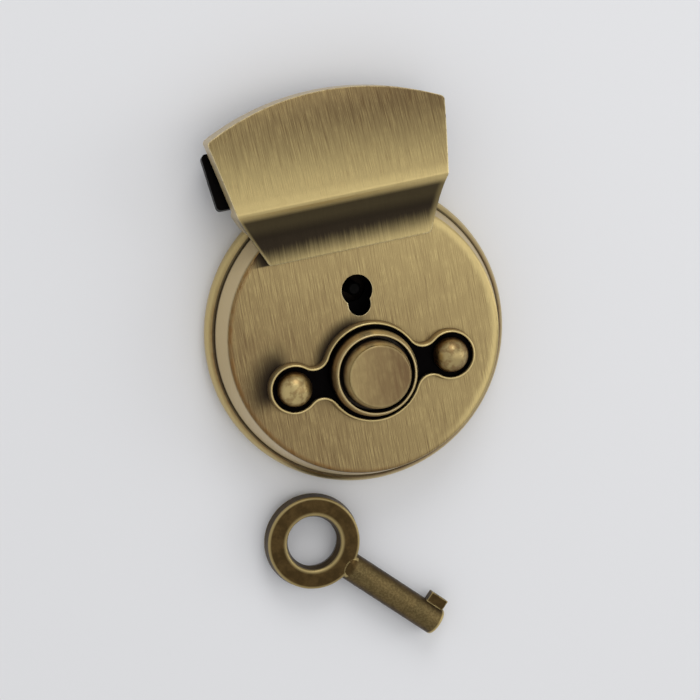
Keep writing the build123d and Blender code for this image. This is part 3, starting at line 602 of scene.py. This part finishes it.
def hasp_tone_and_painted_light(spot):
    """Painted light: darker toward its far end and right, with a painted highlight at the crest.
    """
    painted_light_rise = smooth_step(spot.y, HASP_END_Y - 2.0, CREST_Y + 2.5, 0.26, 0.8)
    painted_crest_highlight = smooth_step(spot.y, CREST_Y + 2.2, CREST_Y + 0.2, 0.0, 0.34)
    return total(painted_light_rise, painted_crest_highlight, times(spot.x, -0.007))


def hasp_patina_and_shade(spot):
    """The nose is dark between crest and lip, partly patina and partly painted shade where it
    turns down to the face, and clears in streaks toward the lip.
    """
    below_crest = smooth_step(spot.y, CREST_Y - 0.3, CREST_Y - 1.4, 0.0, 0.9)
    darkest = smooth_step(spot.y, CREST_Y - 2.2, CREST_Y - 4.2, 0.0, 0.08)
    ragged = total(times(spot.line, 0.1), times(spot.streak, 0.22))
    toward_lip = total(spot.y, ragged, times(spot.x, -0.04))
    above_lip = smooth_step(toward_lip, LIP_Y - 1.6, LIP_Y + 3.4)
    half_width = nose_half_width(spot)
    off_left_edge = smooth_step(total(half_width, spot.x), 0.1, 0.5, 0.6, 1.0)
    off_right_edge = smooth_step(minus(half_width, spot.x), 0.1, 1.2, 0.7, 1.0)
    above_face = smooth_step(spot.z, FACE_LEVEL - 0.7, FACE_LEVEL - 0.1)
    dark = total(below_crest, darkest)
    return product(dark, above_lip, off_left_edge, off_right_edge, above_face)


def hasp_pale(spot):
    """Satin upright walls, beyond the nose."""
    upright = smooth_step(spot.facing_up(), 0.4, 0.2)
    return product(upright, smooth_step(spot.y, CREST_Y - 1.0, CREST_Y, 0.0, 0.75))


def hasp_brown(spot):
    """A trace of brown in a few patches."""
    return smooth_step(spot.blotch, 0.7, 1.0, 0.0, 0.05)


# Escutcheon frame


def frame_tone(spot):
    """Bright crest, deeper toward the face."""
    return smooth_step(spot.z, FACE_LEVEL, FRAME_TOP, 0.35, 1.0)


def frame_black(spot):
    """Black floor and inner wall."""
    upright = smooth_step(spot.facing_up(), 0.12, 0.06)
    wall = product(upright, smooth_step(spot.z, FRAME_TOP - 0.35, FRAME_TOP - 0.75))
    flat = smooth_step(spot.facing_up(), 0.9, 0.97)
    floor = product(flat, smooth_step(spot.z, FRAME_TOP - 0.5, FRAME_TOP - 0.8))
    return strongest(wall, floor)


def frame_patina_and_shade(spot):
    """The outer wall darkens at its foot, with patina and painted shade where it meets the face.
    """
    return smooth_step(spot.z, FACE_LEVEL + 0.45, FACE_LEVEL, 0.0, 0.6)


def frame_pale(spot):
    """Satin outer wall."""
    return smooth_step(spot.facing_up(), 0.8, 0.4, 0.0, 0.4)


def frame_brown(spot):
    """Brown toward the face."""
    return smooth_step(spot.z, FRAME_TOP - 0.3, FACE_LEVEL + 0.2, 0.0, 0.6)


# Ball rivets


def ball_tone_and_painted_highlight(spot):
    """Domes with a painted highlight toward the top and darker blotches; the right one a little
    deeper, as painted shade.
    """
    painted_dome_highlight = smooth_step(spot.z, BALL_TOP - 2.4, BALL_TOP - 0.5, 0.0, 0.68)
    return total(painted_dome_highlight, between(spot.blotch, 0.1, -0.2), times(spot.x, -0.01))


def ball_patina_and_shade(spot):
    """Dark at the foot, patina and painted shade."""
    return smooth_step(spot.z, BALL_TOP - 2.3, BALL_TOP - 3.3, 0.0, 0.9)


def ball_brown(spot):
    """Brown round the foot and in worn blotches."""
    foot = smooth_step(spot.z, BALL_TOP - 0.9, BALL_TOP - 2.2, 0.0, 0.75)
    foot = product(foot, between(spot.speck, 0.6, 1.0))
    return strongest(foot, smooth_step(spot.blotch, 0.4, 1.0, 0.0, 0.3))


# Collar


def collar_tone(spot):
    """Bright at the crest."""
    return smooth_step(spot.z, COLLAR_TOP - 2.2, COLLAR_TOP - 0.2, 0.2, 0.95)


def collar_patina_and_shade(spot):
    """Dark at its foot, patina and painted shade, clearing to the crest."""
    return smooth_step(spot.z, COLLAR_TOP - 0.9, COLLAR_TOP - 2.4, 0.0, 0.97)


def collar_painted_black_shade(spot):
    """Painted black shade in the bore."""
    bore = smooth_step(spot.from_axis(0, BUTTON_Y), COLLAR_BORE + 0.15, COLLAR_BORE + 0.03)
    return product(bore, smooth_step(spot.z, COLLAR_TOP - 0.2, COLLAR_TOP - 0.6))


def collar_pale(spot):
    """Satin shoulder below the crest."""
    return smooth_step(spot.z, COLLAR_TOP - 2.2, COLLAR_TOP - 1.0, 0.0, 0.45)


def collar_brown_and_painted_shade(spot):
    """Brown below the crest; its greater strength on the left is painted shade."""
    left = smooth_step(spot.x, 2.0, -5.0, 0.15, 0.7)
    return product(left, smooth_step(spot.z, COLLAR_TOP - 0.15, COLLAR_TOP - 0.7))


# Push button


def button_tone_and_painted_light(spot):
    """Painted light: the flat top is bright on the left and darkens to the right; side and rim
    carry a painted highlight.
    """
    side = smooth_step(spot.z, BUTTON_TOP - 0.05, BUTTON_TOP - 0.35, 0.0, 0.5)
    out = spot.from_axis(0, BUTTON_Y)
    rim = smooth_step(out, BUTTON_RADIUS - 1.0, BUTTON_RADIUS - 0.3, 0.0, 0.35)
    return total(0.2, strongest(side, rim), times(spot.x, -0.03))


def button_patina_and_shade(spot):
    """Dark at its foot, patina and painted shade."""
    return smooth_step(spot.z, BUTTON_TOP - 1.2, BUTTON_TOP - 2.6, 0.0, 0.97)


def button_pale(spot):
    """Satin side."""
    return smooth_step(spot.z, BUTTON_TOP - 0.1, BUTTON_TOP - 0.5, 0.0, 0.45)


def button_brown(spot):
    """Brown toward the foot, in patches."""
    side = smooth_step(spot.z, BUTTON_TOP - 0.4, BUTTON_TOP - 1.3, 0.0, 0.8)
    return product(side, between(spot.blotch, 0.5, 1.0))


# Key


def key_mottle_and_painted_shade(spot):
    """Clouded and specked, with painted shade toward the table."""
    up = smooth_step(spot.z, 0.6, 3.2, 0.35, 1.0)
    return product(between(spot.blotch, 0.55, 1.0), up, between(spot.speck, 0.8, 1.0))


def key_bare_and_highlit(spot):
    """Bare metal on the bow's two rims and at its tip, and a painted highlight along the top of
    the shank.
    """
    out = spot.from_axis(*BOW_CENTRE)
    outer_rim = product(
        smooth_step(out, BOW_RADIUS - 0.75, BOW_RADIUS - 0.4),
        smooth_step(out, BOW_RADIUS + 0.3, BOW_RADIUS),
    )
    rims = strongest(smooth_step(out, BOW_HOLE + 1.1, BOW_HOLE + 0.5), outer_rim)
    upper = product(
        smooth_step(spot.z, BOW_TOP - 0.5, BOW_TOP - 0.2, 0.0, 0.6),
        smooth_step(spot.z, BOW_TOP + 0.12, BOW_TOP + 0.03),
    )
    shank = smooth_step(out, BOW_RADIUS - 0.3, BOW_RADIUS + 0.6)
    painted_ridge_highlight = smooth_step(spot.z, SHANK_TOP - 1.2, SHANK_TOP - 0.1, 0.0, 0.2)
    painted_ridge_highlight = product(shank, painted_ridge_highlight, between(spot.speck, 0.55, 1.0))
    tip = smooth_step(out, KEY_LENGTH - 0.6, KEY_LENGTH - 0.2, 0.0, 0.9)
    return strongest(product(rims, upper), painted_ridge_highlight, tip)


# What a user may change


def colour_property(name, description, default):
    return bpy.props.FloatVectorProperty(
        name=name, description=description, subtype="COLOR", size=3, min=0, max=1, default=default
    )


def amount_property(name, description, default, unit="NONE", least=0):
    return bpy.props.FloatProperty(
        name=name, description=description, default=default, min=least, unit=unit
    )


class BagLockFinish(bpy.types.PropertyGroup):
    """Colours of the antique brass and of the other metals."""

    deep_brass: colour_property(
        "Deep brass", "Darkest tone of the clean brass", (0.136, 0.084, 0.041))
    bright_brass: colour_property(
        "Bright brass", "Brightest tone of the clean brass", (0.58, 0.455, 0.205))
    pale_brass: colour_property("Pale brass", "Satin upright walls", (0.50, 0.385, 0.20))
    brown: colour_property("Brown", "Warm brown of the thin patina", (0.20, 0.092, 0.026))
    # Also the colour of the painted shade in corners, grooves and at the feet of raised parts.
    patina_and_shade: colour_property("Patina", "Dark patina in the recesses", (0.022, 0.016, 0.012))
    # Black paint on the frame's floor, also used as painted black shade inside the cover and the
    # collar's bore.
    black_paint_and_shade: colour_property(
        "Black", "Black ground of the frame and of the holes", (0.0022, 0.0018, 0.0018))
    # Bare brass on rubbed edges, bright enough to be a painted edge highlight as well.
    rubbed_and_highlight: colour_property(
        "Rubbed and highlit edges", "Bare brass on rubbed edges, also a painted edge highlight", (0.92, 0.79, 0.46))
    key_bronze: colour_property("Key bronze", "Body tone of the key", (0.086, 0.054, 0.020))
    steel: colour_property("Plated steel", "Screws, tongue and plates", (0.50, 0.49, 0.46))
    enamel: colour_property("Enamel", "Backing plate of the hasp", (0.0018, 0.0012, 0.0013))


class BagLockStage(bpy.types.PropertyGroup):
    """Floor, lamps and camera."""

    floor_colour: colour_property("Floor", "Colour of the floor", (0.775, 0.78, 0.80))
    world_strength: amount_property("Surround", "Strength of the even white surround", 0.7)
    top_power: amount_property(
        "Top lamp", "Power of the large lamp above and right", 0.16, "POWER")
    side_power: amount_property(
        "Side lamp", "Power of the low lamp on the right", 0.3, "POWER")
    back_power: amount_property(
        "Back lamp", "Power of the lamp beyond the hasp", 1.1, "POWER")
    lens: amount_property(
        "Focal length", "Camera lens on a 36 mm sensor", 133.714, "CAMERA", least=1)


# Operators, one for each piece or group of like pieces


class BAGLOCK_OT_body(bpy.types.Operator):
    """Brushed brass on the front cover, brown brass on the case"""

    bl_idname = "baglock.body"
    bl_label = "Body"

    def execute(self, context):
        finish = context.scene.bag_lock_finish
        dress(["front_cover"], antique_brass(
            "Brushed brass cover", finish, cover_tone_and_painted_light, cover_patina_and_painted_shade, cover_brown_and_painted_shade, recess=0.25,
            black_paint_and_shade=cover_painted_black_shade, pale=cover_pale, brushed=0.8,
        ))
        dress(["case"], antique_brass(
            "Brown brass case", finish, case_tone_and_painted_shade, case_patina_and_shade, case_brown, recess=0.3, line=0.05,
        ))
        return {"FINISHED"}


class BAGLOCK_OT_hasp(bpy.types.Operator):
    """Brushed brass with a dark nose on the hasp, black enamel on its backing plate"""

    bl_idname = "baglock.hasp"
    bl_label = "Hasp"

    def execute(self, context):
        finish = context.scene.bag_lock_finish
        dress(["hasp_plate"], antique_brass(
            "Brushed brass hasp", finish, hasp_tone_and_painted_light, hasp_patina_and_shade, hasp_brown, recess=0.3,
            pale=hasp_pale, wear_width=0.32, brushed=0.8,
        ))
        dress(["hasp_backing_plate"], black_enamel("Black enamel", finish))
        return {"FINISHED"}


class BAGLOCK_OT_button_group(bpy.types.Operator):
    """Rubbed brass on the escutcheon, ball rivets, collar and push button"""

    bl_idname = "baglock.button_group"
    bl_label = "Button group"

    def execute(self, context):
        finish = context.scene.bag_lock_finish
        dress(["escutcheon"], antique_brass(
            "Rubbed brass frame", finish, frame_tone, frame_patina_and_shade, frame_brown, recess=0.3,
            black_paint_and_shade=frame_black, pale=frame_pale, grain=RUBBED_GRAIN, line=0.05,
        ))
        dress(["ball_rivets"], antique_brass(
            "Rubbed brass balls", finish, ball_tone_and_painted_highlight, ball_patina_and_shade, ball_brown, recess=0.4,
            grain={**RUBBED_GRAIN, "blotches_per_mm": 0.9}, line=0.04, roughness=0.4,
        ))
        dress(["button_collar"], antique_brass(
            "Rubbed brass collar", finish, collar_tone, collar_patina_and_shade, collar_brown_and_painted_shade, recess=0.3,
            black_paint_and_shade=collar_painted_black_shade, pale=collar_pale, grain=RUBBED_GRAIN, line=0.05, roughness=0.32,
        ))
        dress(["push_button"], antique_brass(
            "Rubbed brass button", finish, button_tone_and_painted_light, button_patina_and_shade, button_brown, recess=0.2,
            pale=button_pale, grain={**RUBBED_GRAIN, "lengthwise": LENGTHWISE}, line=0.07,
            roughness=0.34,
        ))
        return {"FINISHED"}


class BAGLOCK_OT_key(bpy.types.Operator):
    """Mottled bronze on the key"""

    bl_idname = "baglock.key"
    bl_label = "Key"

    def execute(self, context):
        finish = context.scene.bag_lock_finish
        dress(["key"], mottled_bronze("Mottled bronze", finish, key_mottle_and_painted_shade, key_bare_and_highlit))
        return {"FINISHED"}


class BAGLOCK_OT_mechanism(bpy.types.Operator):
    """Plated steel and spring wire inside the lock"""

    bl_idname = "baglock.mechanism"
    bl_label = "Mechanism"

    def execute(self, context):
        steel = context.scene.bag_lock_finish.steel
        # Inner steel near black: painted shade that keeps the keyhole dark.
        dress(
            ["mechanism_plate", "deadbolt", "key_pin", "plate_screws"],
            plain_metal("Steel darkened as painted shade", [part * 0.012 for part in steel], 0.55),
        )
        dress(
            ["hasp_tongue", "tongue_rivets", "release_cone", "case_screws", "hasp_screws"],
            plain_metal("Plated steel", steel, 0.34),
        )
        dress(
            ["catch_spring", "detent_spring", "button_spring"],
            plain_metal("Spring wire", [part * 0.85 for part in steel], 0.28),
        )
        return {"FINISHED"}


def link_object(name, data):
    """New object in the scene."""
    thing = bpy.data.objects.new(name, data)
    bpy.context.scene.collection.objects.link(thing)
    return thing


def pale_floor(colour):
    """Plain square floor under the lock."""
    mesh = bpy.data.meshes.new("Floor")
    corners = [(-1, -1), (1, -1), (1, 1), (-1, 1)]
    mesh.from_pydata([(x * FLOOR_HALF_M, y * FLOOR_HALF_M, 0) for x, y in corners], [],
                     [(0, 1, 2, 3)])
    floor = link_object("Floor", mesh)
    material, _, shader = new_material("Pale floor")
    feed(shader.inputs["Base Color"], opaque(colour))
    feed(shader.inputs["Roughness"], 0.9)
    feed(shader.inputs["Specular IOR Level"], 0.1)
    floor.data.materials.append(material)
    return floor


def soft_lamp(name, place_m, size_m, power):
    """Round lamp that points at the lock."""
    lamp = bpy.data.lights.new(name, "AREA")
    lamp.shape = "DISK"
    lamp.size = size_m
    lamp.energy = power
    holder = link_object(name, lamp)
    holder.location = place_m
    toward_lock = Vector((0, 0, 0)) - Vector(place_m)
    holder.rotation_euler = toward_lock.to_track_quat("-Z", "Y").to_euler()


def white_surround(strength):
    """Even light from all sides."""
    world = bpy.data.worlds.new("Studio")
    bpy.context.scene.world = world
    world.use_nodes = True
    back = world.node_tree.nodes["Background"]
    feed(back.inputs["Color"], (1, 1, 1, 1))
    feed(back.inputs["Strength"], strength)


def photo_camera(lens):
    """Camera where the photo was taken from, looking at the lock's face."""
    camera = link_object("Camera", bpy.data.cameras.new("Camera"))
    flip = Matrix.Diagonal((1, -1, -1))  # from Y down and Z away to Y up and Z towards
    to_view = (
        Matrix.Rotation(TURN_Z, 3, "Z")
        @ Matrix.Rotation(TURN_X, 3, "X")
        @ Matrix.Rotation(TURN_Y, 3, "Y")
        @ flip
    )
    place = -(to_view.transposed() @ FACE_FROM_CAMERA) + Vector((0, 0, FACE_LEVEL))
    axes = to_view.transposed() @ flip
    camera.matrix_world = Matrix.LocRotScale(place * MM, axes.to_quaternion(), None)
    camera.data.sensor_width = SENSOR_WIDTH
    camera.data.lens = lens
    camera.data.clip_start = 0.01
    camera.data.clip_end = 10
    return camera


class BAGLOCK_OT_stage(bpy.types.Operator):
    """Pale floor, soft studio light and the camera"""

    bl_idname = "baglock.stage"
    bl_label = "Stage"

    def execute(self, context):
        scene = context.scene
        stage = scene.bag_lock_stage
        pale_floor(stage.floor_colour)
        soft_lamp("Top lamp", (0.15, 0.0, 0.42), 0.30, stage.top_power)
        soft_lamp("Back lamp", (0.12, 0.55, 0.40), 0.35, stage.back_power)
        soft_lamp("Side lamp", (0.45, -0.05, 0.22), 0.30, stage.side_power)
        white_surround(stage.world_strength)
        scene.camera = photo_camera(stage.lens)
        scene.view_settings.view_transform = "Standard"
        return {"FINISHED"}


class BAGLOCK_PT_panel(bpy.types.Panel):
    """Steps that dress the lock and build its stage"""

    bl_label = "Bag Lock"
    bl_idname = "BAGLOCK_PT_panel"
    bl_space_type = "VIEW_3D"
    bl_region_type = "UI"
    bl_category = "Bag Lock"

    def draw(self, context):
        layout = self.layout
        for group in (context.scene.bag_lock_finish, context.scene.bag_lock_stage):
            for name in group.__annotations__:
                layout.prop(group, name)
        for operator in OPERATORS:
            layout.operator(operator.bl_idname)


OPERATORS = (
    BAGLOCK_OT_body,
    BAGLOCK_OT_hasp,
    BAGLOCK_OT_button_group,
    BAGLOCK_OT_key,
    BAGLOCK_OT_mechanism,
    BAGLOCK_OT_stage,
)
CLASSES = (BagLockFinish, BagLockStage, *OPERATORS, BAGLOCK_PT_panel)


def register():
    for cls in CLASSES:
        bpy.utils.register_class(cls)
    bpy.types.Scene.bag_lock_finish = bpy.props.PointerProperty(type=BagLockFinish)
    bpy.types.Scene.bag_lock_stage = bpy.props.PointerProperty(type=BagLockStage)


def unregister():
    del bpy.types.Scene.bag_lock_stage
    del bpy.types.Scene.bag_lock_finish
    for cls in reversed(CLASSES):
        bpy.utils.unregister_class(cls)


def main():
    register()
    bpy.ops.baglock.body()
    bpy.ops.baglock.hasp()
    bpy.ops.baglock.button_group()
    bpy.ops.baglock.key()
    bpy.ops.baglock.mechanism()
    bpy.ops.baglock.stage()


if __name__ == "__main__":
    main()
